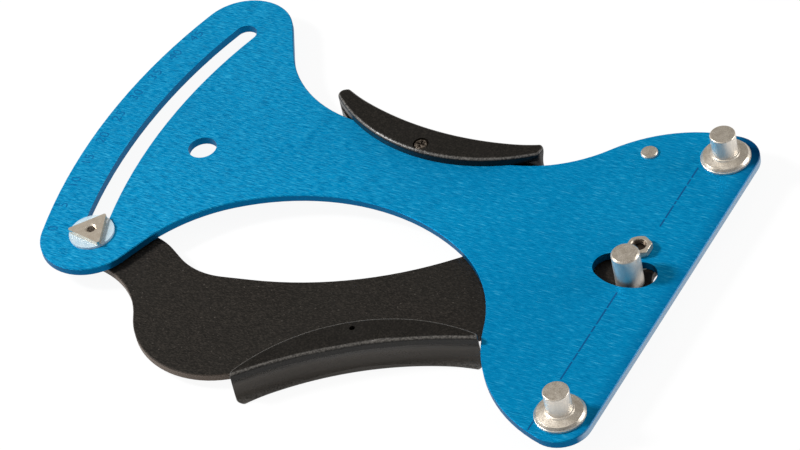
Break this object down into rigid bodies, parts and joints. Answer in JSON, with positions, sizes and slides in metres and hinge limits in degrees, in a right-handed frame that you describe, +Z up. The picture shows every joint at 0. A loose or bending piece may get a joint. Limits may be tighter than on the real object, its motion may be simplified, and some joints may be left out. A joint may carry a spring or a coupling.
{
  "type": "spoke tension meter",
  "caption": "Handheld spoke tension gauge: squeezing two grips swings a lever that bends a spoke between turned posts and moves a pointer along an arc slot",
  "frame": {"origin": "middle of the tool's box in plan, on the surface it lies on", "axes": "+X along the tool from the scale to the straight edge, +Y along the spoke, +Z up out of the scale's face"},
  "size_m": [0.2346, 0.174, 0.0213],
  "materials": {
    "blue_anodised": "brushed, blue anodised",
    "black_anodised": "satin, black anodised",
    "grip_plastic": "fine moulded grain",
    "clear_nylon": "translucent, smooth",
    "nylon": "smooth",
    "plated_steel": "satin, zinc plated",
    "black_steel": "satin, black oxide",
    "turned_steel": "turned, satin",
    "spring_steel": "drawn wire"
  },
  "bodies": {
    "scale_body": {"scale_plate": "blue_anodised", "upper_fixed_post": "turned_steel", "lower_fixed_post": "turned_steel", "spring_anchor_stud": "turned_steel", "upper_grip": "grip_plastic", "upper_grip_screw": "black_steel", "pivot_bolt": "plated_steel", "pivot_nut": "plated_steel", "pivot_washer": "nylon", "rear_pivot_washer": "plated_steel", "return_spring": "spring_steel"},
    "lever_body": {"lever_plate": "black_anodised", "moving_post": "turned_steel", "lower_grip": "grip_plastic", "lower_grip_screw": "black_steel", "pointer": "plated_steel", "pointer_screw": "black_steel", "pointer_washer": "clear_nylon", "pointer_bush": "nylon", "slide_washer": "nylon", "lever_spring_stud": "turned_steel"}
  },
  "joints": [
    {"name": "lever_hinge", "type": "hinge", "parent": "scale_body", "child": "lever_body", "pos_m": [0.09715, 0.01418, 0.0048], "axis": [0, 0, -1], "range_deg": [0, 32.4], "stiffness_Nm_per_rad": 0.12, "springref_deg": -68.75, "deforming": ["return_spring"]}
  ]
}
